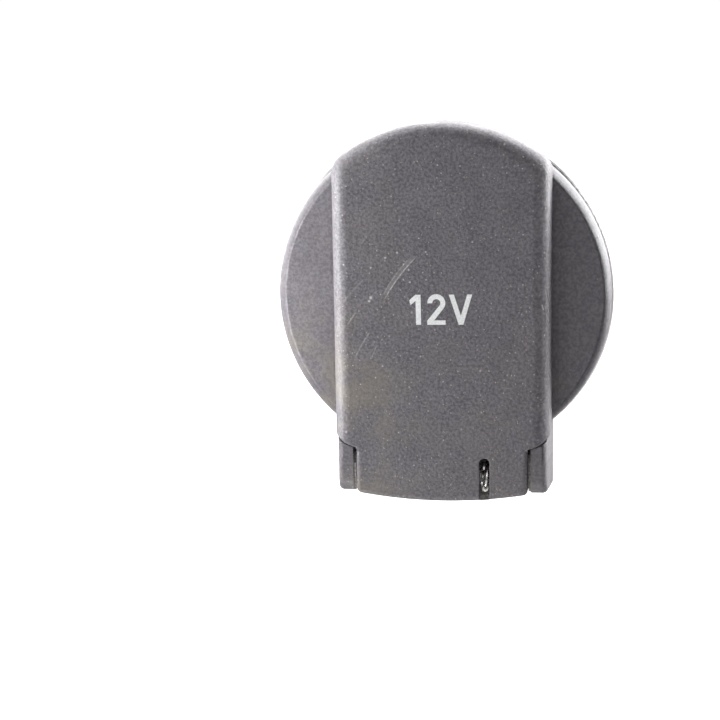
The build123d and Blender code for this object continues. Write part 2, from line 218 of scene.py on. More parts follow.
edgeWear = dict(cornerFrom=0.995, cornerFull=0.85, patchDetail=4.0, patchRough=0.65, patchSpan=(0.38, 0.62))


def buildEdgeWear():  # where hands and tools have rubbed the corners
    e = edgeWear
    inputs = {"Vector": origin, "reach": 0.25, "patch": 1.2}
    tree, given, made = newGroup("edgeWear", inputs, ("Mask",))
    radius = calc(tree, "MULTIPLY", given["reach"], mm)
    rounded = addNode(tree, "ShaderNodeBevel", {"Radius": radius}, samples=bevelSamples).outputs["Normal"]
    flat = addNode(tree, "ShaderNodeNewGeometry").outputs["Normal"]
    agree = vectorCalc(tree, "DOT_PRODUCT", rounded, flat)
    corner = remap(tree, agree, e["cornerFrom"], e["cornerFull"])
    patches = noise(tree, toMm(tree, given["Vector"]), given["patch"], e["patchDetail"], e["patchRough"])
    plug(tree, made["Mask"], calc(tree, "MULTIPLY", corner, remap(tree, patches, *e["patchSpan"])))


scratchMark = dict(
    edge=(0.2, 1.0), endFade=0.18,
    skipPerMm=3.5, skipDetail=3.0, skipRough=0.7, skipSpan=(0.3, 0.6), skipLeast=0.25,
)


def buildScratchMark():  # one bowed scratch in the plane of the lid's face
    s = scratchMark
    inputs = {"Vector": origin, "fromPoint": origin, "toPoint": (1.0, 0.0, 0.0), "bow": 0.0, "width": 0.1}
    tree, given, made = newGroup("scratchMark", inputs, ("Mask",))
    place = toFaceMm(tree, given["Vector"])
    run = vectorCalc(tree, "SUBTRACT", given["toPoint"], given["fromPoint"])
    reach = vectorCalc(tree, "SUBTRACT", place, given["fromPoint"])
    lengthSquared = vectorCalc(tree, "DOT_PRODUCT", run, run)
    done = calc(tree, "DIVIDE", vectorCalc(tree, "DOT_PRODUCT", reach, run), lengthSquared)
    rest = calc(tree, "SUBTRACT", 1.0, done)
    across = vectorCalc(tree, "NORMALIZE", vectorCalc(tree, "CROSS_PRODUCT", run, (0.0, 1.0, 0.0)))
    bulge = calc(tree, "MULTIPLY", given["bow"], 4.0)  # bow is the height halfway
    bend = calc(tree, "MULTIPLY", calc(tree, "MULTIPLY", done, rest), bulge)
    off = calc(tree, "ABSOLUTE", calc(tree, "SUBTRACT", vectorCalc(tree, "DOT_PRODUCT", reach, across), bend))
    line = remap(tree, calc(tree, "DIVIDE", off, given["width"]), *s["edge"], 1.0, 0.0)
    ends = remap(tree, calc(tree, "MINIMUM", done, rest), 0.0, s["endFade"])
    skips = noise(tree, place, s["skipPerMm"], s["skipDetail"], s["skipRough"])
    skips = remap(tree, skips, *s["skipSpan"], s["skipLeast"], 1.0)
    plug(tree, made["Mask"], calc(tree, "MULTIPLY", calc(tree, "MULTIPLY", line, ends), skips))


drawnMarks = dict(detail=5.0, rough=0.7, streakSpan=(0.35, 0.7))


def buildDrawnMarks():  # lines that drawing, rolling or turning leaves in metal
    d = drawnMarks
    inputs = {"Vector": origin, "stretch": (8.0, 0.3, 8.0)}
    tree, given, made = newGroup("drawnMarks", inputs, ("Height", "Streak"))
    place = vectorCalc(tree, "MULTIPLY", toMm(tree, given["Vector"]), given["stretch"])
    lines = noise(tree, place, 1.0, d["detail"], d["rough"])
    plug(tree, made["Height"], lines)
    plug(tree, made["Streak"], remap(tree, lines, *d["streakSpan"]))


steepEdgeFade = 0.5  # how softly it stops at its lower limit


def buildSteepEdge():
    # an edge round on the front that falls away fast, more like a cone than a quarter circle
    inputs = {
        "Vector": origin, "Normal": (0.0, 0.0, 1.0), "from": 0.2, "to": 0.45, "keep": 0.12, "above": -18.0,
    }
    tree, given, made = newGroup("steepEdge", inputs, ("Normal",))
    height = axesOf(tree, toMm(tree, given["Vector"]))["Z"]
    here = remap(tree, calc(tree, "SUBTRACT", height, given["above"]), -steepEdgeFade, steepEdgeFade)
    tilt = awayFromFront(tree, given["Normal"])
    forward = remap(tree, tilt, given["from"], given["to"], 1.0, given["keep"])
    forward = calc(tree, "MULTIPLY_ADD", calc(tree, "SUBTRACT", forward, 1.0), here, 1.0)
    scale = addNode(tree, "ShaderNodeCombineXYZ", {"X": 1.0, "Y": forward, "Z": 1.0}).outputs[0]
    turned = vectorCalc(tree, "MULTIPLY", given["Normal"], scale)
    plug(tree, made["Normal"], vectorCalc(tree, "NORMALIZE", turned))


buildMouldGrain()
buildDustSpecks()
buildDustGrain()
buildEdgeWear()
buildScratchMark()
buildDrawnMarks()
buildSteepEdge()
print("shared effects built")


# finishes

def newMaterial(name):
    material = bpy.data.materials.new(name)
    material.use_nodes = True
    tree = material.node_tree
    shader = tree.nodes["Principled BSDF"]
    place = addNode(tree, "ShaderNodeTexCoord").outputs["Object"]
    return material, tree, shader, place


def addBump(tree, shader, height, depth, edgeRound=0.0, steep=None, place=None):
    bump = addNode(tree, "ShaderNodeBump", {"Height": height, "Distance": depth * mm})
    if edgeRound:
        rounded = addNode(tree, "ShaderNodeBevel", {"Radius": edgeRound * mm}, samples=bevelSamples)
        normal = rounded.outputs["Normal"]
        if steep:
            normal = useGroup(tree, "steepEdge", Vector=place, Normal=normal, **steep)["Normal"]
        plug(tree, bump.inputs["Normal"], normal)
    plug(tree, shader.inputs["Normal"], bump.outputs["Normal"])


def addDust(tree, colour, place, spacing, size, share, cover, pale, tan):
    specks = useGroup(tree, "dustSpecks", Vector=place, spacing=spacing, size=size, share=share)
    tint = mixColour(tree, specks["Shade"], tan, pale)
    return mixColour(tree, calc(tree, "MULTIPLY", specks["Mask"], cover), colour, tint), specks["Mask"]


def addWear(tree, colour, place, reach, patch, cover, rubbed):
    worn = useGroup(tree, "edgeWear", Vector=place, reach=reach, patch=patch)["Mask"]
    return mixColour(tree, calc(tree, "MULTIPLY", worn, cover), colour, rubbed)


def blendOf(tree, first, second, share):  # share of the first, the rest of the second
    return calc(tree, "MULTIPLY_ADD", first, share, calc(tree, "MULTIPLY", second, 1.0 - share))


frontPlastic = dict(
    colour=(0.122, 0.113, 0.128, 1.0), dark=(0.052, 0.048, 0.057, 1.0), cloudShare=0.16,
    roughLow=0.45, roughHigh=0.6, grainPerMm=3.15, grainDepth=0.075,
    pale=(0.56, 0.54, 0.52, 1.0), tan=(0.4, 0.34, 0.26, 1.0),
    wear=dict(reach=0.2, patch=1.4, cover=0.5, rubbed=(0.19, 0.18, 0.19, 1.0)),
    fineDust=dict(spacing=0.42, size=0.125, share=0.55, cover=0.55),
    coarseDust=dict(spacing=1.5, size=0.18, share=0.35, cover=0.6),
    dustDepth=0.5, dustRough=0.25, grainCover=0.6, scratchDepth=0.5,
    rimTilt=(0.1, 0.4), rimHeights=(-18.5, -17.5),  # where a face's rimRough begins and is full
)

# a brownish film, lighter than the plastic, on lid and bezel, strongest at the low left
lowLeftFilm = dict(
    colour=(0.16, 0.142, 0.105, 1.0), across=(-1.0, -11.0), down=(4.0, -13.0), least=0.2, most=0.65,
    perMm=0.22, detail=5.0, rough=0.6, span=(0.35, 0.75),
)

lidFace = dict(edgeRound=0.3, steep=None, toneSpread=1.0, dustShare=1.0, rimRough=1.0)
bezelFace = dict(
    edgeRound=0.25, steep={"from": 0.04, "to": 0.19, "keep": 0.075, "above": -18.0},
    toneSpread=0.75, dustShare=0.3, rimRough=0.78,
)

# marks on the lid's face, as (x, z) in millimetres: from, to, bow, width, strength
lidScratches = [
    ((-2.45, 5.05), (-6.25, -0.05), -0.26, 0.1, 0.45),
    ((-2.9, 5.2), (-6.45, 0.4), -0.24, 0.09, 0.22),
    ((-2.65, 5.1), (-6.35, 0.2), -0.25, 0.36, 0.09),
    ((-8.3, 2.55), (-10.8, -0.25), -0.06, 0.16, 0.13),
    ((-9.3, -1.15), (-10.35, -2.75), 0.0, 0.13, 0.2),
    ((-7.67, -3.3), (-9.6, -6.6), -0.12, 0.12, 0.2),
    ((-7.0, -4.8), (-7.75, -6.6), 0.0, 0.12, 0.16),
    ((-7.7, 7.5), (-8.7, 6.3), 0.0, 0.11, 0.16),
    ((-6.8, 1.3), (-7.67, 0.4), 0.0, 0.12, 0.16),
    ((11.15, -0.27), (11.37, -1.06), 0.0, 0.08, 0.5),
]

# larger grains of dust on the lid's face: (x, z) and radius in millimetres
lidGrains = [
    ((-4.66, 5.42), 0.18), ((-5.95, 4.85), 0.17), ((-7.6, 3.72), 0.16), ((-3.4, 3.5), 0.15),
    ((-3.28, 2.15), 0.16), ((-1.5, 5.5), 0.15), ((-7.65, 0.38), 0.26), ((-7.85, 0.0), 0.2),
]


def addLowLeftFilm(tree, colour, place):
    f = lowLeftFilm
    at = axesOf(tree, place)
    cover = remap(tree, at["X"], *f["across"], f["least"], f["most"])
    cover = calc(tree, "MULTIPLY", cover, remap(tree, at["Z"], *f["down"], f["least"], 1.0))
    film = remap(tree, noise(tree, place, f["perMm"], f["detail"], f["rough"]), *f["span"])
    return mixColour(tree, calc(tree, "MULTIPLY", film, cover), colour, f["colour"])


def makeFrontPlastic(name, face, scratches=(), grains=()):
    look = frontPlastic
    material, tree, shader, place = newMaterial(name)
    grain = useGroup(tree, "mouldGrain", Vector=place, perMm=look["grainPerMm"])
    tone = blendOf(tree, grain["Cloud"], grain["Fine"], look["cloudShare"])
    spread = face["toneSpread"]
    tone = calc(tree, "MULTIPLY_ADD", tone, spread, 0.5 - 0.5 * spread)  # the middle tone stays
    colour = mixColour(tree, tone, look["dark"], look["colour"])
    colour = addLowLeftFilm(tree, colour, toMm(tree, place))
    colour = addWear(tree, colour, place, **look["wear"])
    height = grain["Height"]
    for start, end, bow, width, strength in scratches:
        fromPoint, toPoint = ((x, 0.0, z) for x, z in (start, end))
        ends = dict(fromPoint=fromPoint, toPoint=toPoint)
        mark = useGroup(tree, "scratchMark", Vector=place, bow=bow, width=width, **ends)["Mask"]
        colour = mixColour(tree, calc(tree, "MULTIPLY", mark, strength), colour, look["pale"])
        height = calc(tree, "MULTIPLY_ADD", mark, -look["scratchDepth"] * strength, height)
    rough = remap(tree, grain["Cloud"], 0.0, 1.0, look["roughLow"], look["roughHigh"])
    for dust in (look["fineDust"], look["coarseDust"]):
        dust = dict(dust, share=dust["share"] * face["dustShare"])
        colour, mask = addDust(tree, colour, place, pale=look["pale"], tan=look["tan"], **dust)
        height = calc(tree, "MULTIPLY_ADD", mask, look["dustDepth"], height)
        rough = calc(tree, "MULTIPLY_ADD", mask, look["dustRough"], rough, clamp=True)
    tilt = awayFromFront(tree, addNode(tree, "ShaderNodeNewGeometry").outputs["Normal"])
    onRim = remap(tree, axesOf(tree, toMm(tree, place))["Z"], *look["rimHeights"])
    onRim = calc(tree, "MULTIPLY", remap(tree, tilt, *look["rimTilt"]), onRim)
    rough = calc(tree, "MULTIPLY", rough, remap(tree, onRim, 0.0, 1.0, 1.0, face["rimRough"]))
    for (x, z), size in grains:
        mask = useGroup(tree, "dustGrain", Vector=place, at=(x, 0.0, z), size=size)["Mask"]
        colour = mixColour(tree, calc(tree, "MULTIPLY", mask, look["grainCover"]), colour, look["pale"])
    plug(tree, shader.inputs["Base Color"], colour)
    plug(tree, shader.inputs["Roughness"], rough)
    addBump(tree, shader, height, look["grainDepth"] * spread, face["edgeRound"], face["steep"], place)
    return material


rearPlastics = {
    "sleevePlastic": dict(
        colour=(0.05, 0.05, 0.058, 1.0), dark=(0.034, 0.034, 0.04, 1.0), rubbed=(0.1, 0.1, 0.105, 1.0),
        pale=(0.45, 0.43, 0.4, 1.0), tan=(0.3, 0.25, 0.17, 1.0), roughLow=0.28, roughHigh=0.4,
        grainPerMm=2.6, grainDepth=0.012, edgeRound=0.1,
        steep={"from": 0.05, "to": 0.2, "keep": 0.1, "above": -30.0},
        dust=dict(spacing=0.9, size=0.13, share=0.4, cover=0.5),
        # painted reflection on the front of the sleeve's lip
        lipPaintedSheen=dict(
            colour=(0.8, 0.79, 0.78, 1.0), behind=(-0.9, -0.5), heights=(9.0, 14.0), low=0.95, high=0.15,
        ),
    ),
    "blackPlastic": dict(
        colour=(0.022, 0.022, 0.024, 1.0), dark=(0.014, 0.014, 0.015, 1.0), rubbed=(0.075, 0.074, 0.075, 1.0),
        pale=(0.4, 0.38, 0.35, 1.0), tan=(0.25, 0.2, 0.14, 1.0), roughLow=0.34, roughHigh=0.5,
        grainPerMm=2.2, grainDepth=0.008, edgeRound=0.2, steep=None,
        dust=dict(spacing=0.9, size=0.12, share=0.4, cover=0.5), lipPaintedSheen=None,
    ),
}
rearWear = dict(reach=0.18, patch=1.1, cover=0.6)
rearCloudShare = 0.5
rearDustRough = 0.3


def addLipPaintedSheen(tree, colour, place, lip):
    # painted reflection: near-white colour on the front of the sleeve's lip, in the step behind the bezel's
    # rim, standing in for the bright light that lip catches; less of it near the top
    at = axesOf(tree, toMm(tree, place))
    cover = remap(tree, at["Z"], *lip["heights"], lip["low"], lip["high"])
    cover = calc(tree, "MULTIPLY", cover, remap(tree, at["Y"], *lip["behind"], 1.0, 0.0))
    return mixColour(tree, cover, colour, lip["colour"])


def makeRearPlastic(name):
    look = rearPlastics[name]
    material, tree, shader, place = newMaterial(name)
    grain = useGroup(tree, "mouldGrain", Vector=place, perMm=look["grainPerMm"])
    tone = blendOf(tree, grain["Cloud"], grain["Fine"], rearCloudShare)
    colour = mixColour(tree, tone, look["dark"], look["colour"])
    colour = addWear(tree, colour, place, rubbed=look["rubbed"], **rearWear)
    # painted reflection on the sleeve's lip, where the finish has it
    if look["lipPaintedSheen"]:
        colour = addLipPaintedSheen(tree, colour, place, look["lipPaintedSheen"])
    colour, mask = addDust(tree, colour, place, pale=look["pale"], tan=look["tan"], **look["dust"])
    rough = remap(tree, tone, 0.0, 1.0, look["roughLow"], look["roughHigh"])
    rough = calc(tree, "MULTIPLY_ADD", mask, rearDustRough, rough, clamp=True)
    plug(tree, shader.inputs["Base Color"], colour)
    plug(tree, shader.inputs["Roughness"], rough)
    addBump(tree, shader, grain["Height"], look["grainDepth"], look["edgeRound"], look["steep"], place)
    return material


# metals: stretch gives the lines' direction, tarnish the colour that patches turn to
metals = {
    "nickelPlate": dict(
        colour=(0.31, 0.3, 0.285, 1.0), tarnish=(0.17, 0.152, 0.126, 1.0), tarnishCover=0.7, patch=0.22,
        roughLow=0.32, roughHigh=0.5, stretch=(5.0, 0.12, 5.0), depth=0.003,
    ),
    "drawnSteel": dict(
        colour=(0.56, 0.555, 0.55, 1.0), tarnish=(0.33, 0.3, 0.27, 1.0), tarnishCover=0.45, patch=0.5,
        roughLow=0.24, roughHigh=0.45, stretch=(0.4, 9.0, 9.0), depth=0.003,
    ),
    "springSteel": dict(
        colour=(0.74, 0.73, 0.71, 1.0), tarnish=(0.4, 0.37, 0.34, 1.0), tarnishCover=0.2, patch=0.7,
        roughLow=0.2, roughHigh=0.32, stretch=(3.0, 3.0, 3.0), depth=0.0006,
    ),
    "rolledBrass": dict(
        colour=(0.72, 0.51, 0.21, 1.0), tarnish=(0.35, 0.22, 0.1, 1.0), tarnishCover=0.55, patch=0.35,
        roughLow=0.22, roughHigh=0.42, stretch=(7.0, 0.25, 7.0), depth=0.003,
    ),
}
tarnishPatch = dict(detail=5.0, rough=0.62, span=(0.4, 0.75), dulls=0.3)
metalWear = dict(reach=0.12, patch=1.5, cover=0.6)


def makeMetal(name):
    look = metals[name]
    material, tree, shader, place = newMaterial(name)
    marks = useGroup(tree, "drawnMarks", Vector=place, stretch=look["stretch"])
    patches = noise(tree, toMm(tree, place), look["patch"], tarnishPatch["detail"], tarnishPatch["rough"])
    dull = calc(tree, "MULTIPLY", remap(tree, patches, *tarnishPatch["span"]), look["tarnishCover"])
    colour = mixColour(tree, dull, look["colour"], look["tarnish"])
    colour = addWear(tree, colour, place, rubbed=look["colour"], **metalWear)
    rough = remap(tree, marks["Streak"], 0.0, 1.0, look["roughLow"], look["roughHigh"])
    rough = calc(tree, "MULTIPLY_ADD", dull, tarnishPatch["dulls"], rough, clamp=True)
    plug(tree, shader.inputs["Base Color"], colour)
    plug(tree, shader.inputs["Roughness"], rough)
    shader.inputs["Metallic"].default_value = 1.0
    addBump(tree, shader, marks["Height"], look["depth"])
    return material


pressedBoard = dict(
    colour=(0.5, 0.4, 0.26, 1.0), dark=(0.36, 0.27, 0.16, 1.0), fibre=(0.62, 0.53, 0.38, 1.0),
    fibreCover=0.35, fibreStretch=(6.0, 6.0, 0.8),
    roughLow=0.45, roughHigh=0.7, grainPerMm=2.6, grainDepth=0.012,
)


def makePressedBoard(name):  # the washer under the live contact
    look = pressedBoard
    material, tree, shader, place = newMaterial(name)
    grain = useGroup(tree, "mouldGrain", Vector=place, perMm=look["grainPerMm"])
    colour = mixColour(tree, grain["Cloud"], look["dark"], look["colour"])
    threads = useGroup(tree, "drawnMarks", Vector=place, stretch=look["fibreStretch"])["Streak"]
    colour = mixColour(tree, calc(tree, "MULTIPLY", threads, look["fibreCover"]), colour, look["fibre"])
    plug(tree, shader.inputs["Base Color"], colour)
    rough = remap(tree, threads, 0.0, 1.0, look["roughLow"], look["roughHigh"])
    plug(tree, shader.inputs["Roughness"], rough)
    addBump(tree, shader, grain["Height"], look["grainDepth"])
    return material


# painted shade: finishes for the filler pieces that stand for the shade in the hinge's gaps
shadeFillFinishes = {
    "darkShadeFill": dict(
        colour=(0.1, 0.094, 0.088, 1.0), dark=(0.045, 0.042, 0.04, 1.0), tan=(0.24, 0.2, 0.14, 1.0),
    ),
    "paleShadeFill": dict(
        colour=(0.27, 0.252, 0.24, 1.0), dark=(0.13, 0.122, 0.116, 1.0), tan=(0.42, 0.37, 0.28, 1.0),
    ),
}
shadeFillTexture = dict(rough=0.9, grainPerMm=4.5, grainDepth=0.05, speckCover=0.6)
shadeFillSpecks = dict(spacing=0.25, size=0.1, share=0.4)


def makeShadeFill(name):
    look = shadeFillFinishes[name]
    material, tree, shader, place = newMaterial(name)
    grain = useGroup(tree, "mouldGrain", Vector=place, perMm=shadeFillTexture["grainPerMm"])
    colour = mixColour(tree, grain["Fine"], look["dark"], look["colour"])
    specks = useGroup(tree, "dustSpecks", Vector=place, **shadeFillSpecks)["Mask"]
    colour = mixColour(tree, calc(tree, "MULTIPLY", specks, shadeFillTexture["speckCover"]), colour, look["tan"])
    plug(tree, shader.inputs["Base Color"], colour)
    shader.inputs["Roughness"].default_value = shadeFillTexture["rough"]
    addBump(tree, shader, grain["Height"], shadeFillTexture["grainDepth"])
    return material


printInk = dict(
    colour=(0.65, 0.66, 0.66, 1.0), thin=(0.52, 0.525, 0.53, 1.0), roughLow=0.5, roughHigh=0.65,
    grainPerMm=5.0, grainDepth=0.012,
)


def makePrintInk(name):
    look = printInk
    material, tree, shader, place = newMaterial(name)
    grain = useGroup(tree, "mouldGrain", Vector=place, perMm=look["grainPerMm"])
    colour = mixColour(tree, grain["Fine"], look["thin"], look["colour"])
    plug(tree, shader.inputs["Base Color"], colour)
    rough = remap(tree, grain["Cloud"], 0.0, 1.0, look["roughLow"], look["roughHigh"])
    plug(tree, shader.inputs["Roughness"], rough)
    addBump(tree, shader, grain["Height"], look["grainDepth"])
    return material


lidPlastic = makeFrontPlastic("lidPlastic", lidFace, lidScratches, lidGrains)
bezelPlastic = makeFrontPlastic("bezelPlastic", bezelFace)
rearPlasticOf = {name: makeRearPlastic(name) for name in rearPlastics}
insulatorBoard = makePressedBoard("insulatorBoard")
markInk = makePrintInk("markInk")
shadeFillOf = {name: makeShadeFill(name) for name in shadeFillFinishes}
metalOf = {name: makeMetal(name) for name in metals}
print("finishes made")

finishOf = {
    "bezel": bezelPlastic,
    "lid": lidPlastic,
    "mounting_sleeve": rearPlasticOf["sleevePlastic"],
    "connector_housing": rearPlasticOf["blackPlastic"],
    "contact_insulator": insulatorBoard,
    "contact_barrel": metalOf["nickelPlate"],
    "hinge_pin": metalOf["drawnSteel"],
    "rivet_washer": metalOf["drawnSteel"],
    "ground_rivet": metalOf["drawnSteel"],
    "centre_contact": metalOf["rolledBrass"],
    "positive_terminal": metalOf["rolledBrass"],
    "negative_terminal": metalOf["rolledBrass"],
    "lid_spring": metalOf["springSteel"],
}
for name, finish in finishOf.items():
    nodes[name].data.materials.clear()
    nodes[name].data.materials.append(finish)
print("solids finished")


# mesh helpers

def addPiece(name, mesh, finish):
    mesh.materials.append(finish)
    piece = bpy.data.objects.new(name, mesh)
    bpy.context.scene.collection.objects.link(piece)
    return piece


def toMesh(name, built):
    mesh = bpy.data.meshes.new(name)
    built.to_mesh(mesh)
    built.free()
    return mesh


def joinRings(built, rings):
    # walls between equal rings of corners, both ends closed, every face turned outward
    count = len(rings[0])
    for ring, following in zip(rings, rings[1:]):
        for i in range(count):
            j = (i + 1) % count
            built.faces.new((ring[i], ring[j], following[j], following[i]))
    built.faces.new(rings[0][::-1])
    built.faces.new(rings[-1])
    bmesh.ops.recalc_face_normals(built, faces=built.faces)


# rating mark printed on the lid: outlines in millimetres on the base line, as upright letters
ratingMark = dict(
    middle=(0.07, -0.9), turnDeg=0.6, thick=0.015, sunk=0.01, capHeight=3.354,
    starts=(0.0, 1.993, 4.361), endsAt=7.02,
    bowl=dict(centre=(1.067, 2.42), outer=0.99, inner=0.44, startsAt=math.pi * 1.01, steps=28),
)


def touchAngle(point, centre, radius):
    # the angle, anticlockwise of the point, at which a line from it touches a circle
    away = Vector(point) - Vector(centre)
    return math.atan2(away.y, away.x) + math.acos(radius / away.length)


def arcPoints(centre, radius, fromAngle, toAngle, steps):
    angles = [fromAngle + (toAngle - fromAngle) * i / steps for i in range(steps + 1)]
    return [(centre[0] + radius * math.cos(a), centre[1] + radius * math.sin(a)) for a in angles]


def figureOne(top):
    return [(0.77, 0.0), (1.33, 0.0), (1.33, top), (0.76, top), (0.08, 2.75), (0.2, 2.2), (0.77, 2.68)]


def figureTwo():
    bowl = ratingMark["bowl"]
    legOut, legIn = (0.785, 0.486), (0.02, 0.45)
    centre, outer, inner, start, steps = (bowl[k] for k in ("centre", "outer", "inner", "startsAt", "steps"))
    points = arcPoints(centre, outer, start, touchAngle(legOut, centre, outer), steps)
    points += [legOut, (2.05, 0.486), (2.05, 0.0), (0.02, 0.0), legIn]
    points += arcPoints(centre, inner, touchAngle(legIn, centre, inner), start, steps)
    return points


def letterV(top):
    foot = [(1.125, 0.0), (1.632, 0.0)]
    return foot + [(2.663, top), (2.108, top), (1.379, 0.98), (0.649, top), (0.094, top)]


def makeRatingMark():
    mark = ratingMark
    top = mark["capHeight"]
    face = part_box("lid")[0].y
    middle = Vector((mark["endsAt"] / 2, top / 2))
    turn = Matrix.Rotation(math.radians(mark["turnDeg"]), 2)
    built = bmesh.new()
    for start, outline in zip(mark["starts"], (figureOne(top), figureTwo(), letterV(top))):
        flat = [turn @ (Vector(p) + Vector((start, 0.0)) - middle) + Vector(mark["middle"]) for p in outline]
        low = [built.verts.new((p.x * mm, face + mark["sunk"] * mm, p.y * mm)) for p in flat]
        high = [built.verts.new((p.x * mm, face - mark["thick"] * mm, p.y * mm)) for p in flat]
        joinRings(built, [low, high])
    bmesh.ops.triangulate(built, faces=[f for f in built.faces if len(f.verts) > 4])
    return addPiece("rating_mark", toMesh("rating_mark", built), markInk)


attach(makeRatingMark(), "flap")
print("rating mark printed")


# lid spring: the same wire as the solid, wound finer, shown in the solid's place
lidSpring = dict(
    wireRadius=0.39, coilRadius=1.6, leftEnd=0.4, rightEnd=5.1, turns=5,
    lidLeg=(-0.449, 3.55), bezelLeg=(1.95, 2.81),  # where each leg goes, from the pin's centre as (y, z)
    lidLegMore=0.8,
    ringsPerTurn=48, sides=16, legRings=8, tipRound=0.12,
)


def leavesCoil(leg, side):
    return math.atan2(leg[1], leg[0]) + side * math.acos(lidSpring["coilRadius"] / math.hypot(*leg))


def springPath():
    # points along the wire with the direction out of the coil at each
    s = lidSpring
    r = s["coilRadius"]
    first = leavesCoil(s["lidLeg"], -1)
    turned = first - leavesCoil(s["bezelLeg"], 1) + 2 * math.pi * s["turns"]
    width = s["rightEnd"] - s["leftEnd"]
    count = round(turned / (2 * math.pi) * s["ringsPerTurn"])

    def onCoil(share):
        angle = first - turned * share
        out = Vector((0.0, math.cos(angle), math.sin(angle)))
        ahead = Vector((width, r * turned * math.sin(angle), -r * turned * math.cos(angle))).normalized()
        return Vector((s["leftEnd"] + width * share, 0.0, 0.0)) + out * r, out, ahead

    coil = [onCoil(i / count) for i in range(count + 1)]
    lidLength = math.sqrt(math.hypot(*s["lidLeg"]) ** 2 - r**2) + s["lidLegMore"]
    bezelLength = math.sqrt(math.hypot(*s["bezelLeg"]) ** 2 - r**2)
    steps = s["legRings"]
    start, startOut, startAhead = coil[0]
    end, endOut, endAhead = coil[-1]
    lidLeg = [(start - startAhead * lidLength * (1 - i / steps), startOut, startAhead) for i in range(steps)]
    bezelLeg = [(end + endAhead * bezelLength * (i + 1) / steps, endOut, endAhead) for i in range(steps)]
    return lidLeg + coil + bezelLeg


def springRows():
    # the path with the wire's radius at each point, smaller at both tips
    full = lidSpring["wireRadius"]
    tip = lidSpring["tipRound"]
    path = springPath()
    point, out, ahead = path[0]
    rows = [(point, out, ahead, full - tip), (point + ahead * tip, out, ahead, full)]
    rows += [(*step, full) for step in path[1:-1]]
    point, out, ahead = path[-1]
    return rows + [(point - ahead * tip, out, ahead, full), (point, out, ahead, full - tip)]


def makeLidSpring():
    s = lidSpring
    pin = Vector(frame["joints"][0]["pos_m"])
    angles = [2 * math.pi * i / s["sides"] for i in range(s["sides"])]
    built = bmesh.new()
    rings = []
    for point, out, ahead, radius in springRows():
        side = ahead.cross(out)
        ring = [pin + (point + (out * math.cos(a) + side * math.sin(a)) * radius) * mm for a in angles]
        rings.append([built.verts.new(p) for p in ring])
    joinRings(built, rings)
    for face in built.faces:
        face.smooth = len(face.verts) == 4
    piece = addPiece("spring_wire", toMesh("spring_wire", built), metalOf["springSteel"])
    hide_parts("lid_spring")
    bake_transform(piece)


makeLidSpring()
print("spring wound")


# painted shade: filler pieces in lint-like finishes, put where the hinge shows only shade: beside the tongue,
# and in the low end of the spring's slot
gapShadeFill = dict(
    fromX=9.64, toX=9.895, columns=4, backY=-4.2, frontY=-7.25, bottomZ=-21.93, topZ=-17.4, toeRound=1.75,
    thinnest=0.05, ragged=0.07, steps=48,
    # height, and how far behind the ear's front
    leftSet=((-17.4, 0.7), (-18.1, 0.5), (-18.6, 0.08), (-22.0, 0.04)),
    rightSet=((-17.4, 0.6), (-19.0, 0.4), (-20.5, 0.3), (-22.0, 0.15)),
)
slotShadeFill = dict(
    middleX=4.8, halfWidth=0.568, bottomZ=-22.7, sag=0.0092, frontY=-7.6, backY=-6.97, thinnest=0.02,
    ragged=0.03, ragLayer=3.0, columns=16, rows=20,
    # share across the slot, and how high the lint stands there
    tops=((-1.0, 2.1), (-0.72, 1.9), (-0.5, 1.0), (0.0, 0.8), (0.6, 0.9), (0.8, 1.6), (1.0, 1.9)),
    # share across the slot, and how high the shade fill stands there
    setBack=((0.0, 0.12), (0.6, 0.2), (1.0, 0.42), (2.1, 0.5)),
)
shadeFillRagsPerMm = 5.0


def valueAt(points, at):
    # straight lines between the points, level past either end
    points = sorted(points)
    if at <= points[0][0]:
        return points[0][1]
    for (x0, y0), (x1, y1) in zip(points, points[1:]):
        if at <= x1:
            return y0 + (y1 - y0) * (at - x0) / (x1 - x0)
    return points[-1][1]


def rag(point, depth):
    return turbulence.noise(Vector(point) * shadeFillRagsPerMm) * depth


def closedStrip(name, sections, finish):
    built = bmesh.new()
    joinRings(built, [[built.verts.new(Vector(p) * mm) for p in section] for section in sections])
    return addPiece(name, toMesh(name, built), finish)


def makeGapShadeFill(name, side, setBack):
    g = gapShadeFill
    across = [g["fromX"] + (g["toX"] - g["fromX"]) * i / g["columns"] for i in range(g["columns"] + 1)]
    sections = []
    for i in range(g["steps"] + 1):
        z = g["topZ"] + (g["bottomZ"] - g["topZ"]) * i / g["steps"]
        under = max(0.0, g["bottomZ"] + g["toeRound"] - z)  # the ear's toe is rounded
        toe = g["toeRound"] - math.sqrt(max(0.0, g["toeRound"] ** 2 - under**2))
        front = g["frontY"] + toe + valueAt(setBack, z)
        back = max(g["backY"], front + g["thinnest"])
        faceRow = [(side * x, front + rag((x, side, z), g["ragged"]), z) for x in across]
        backRow = [(side * x, back, z) for x in across[::-1]]
        sections.append(faceRow + backRow)
    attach(closedStrip(name, sections, shadeFillOf["paleShadeFill"]), "base")


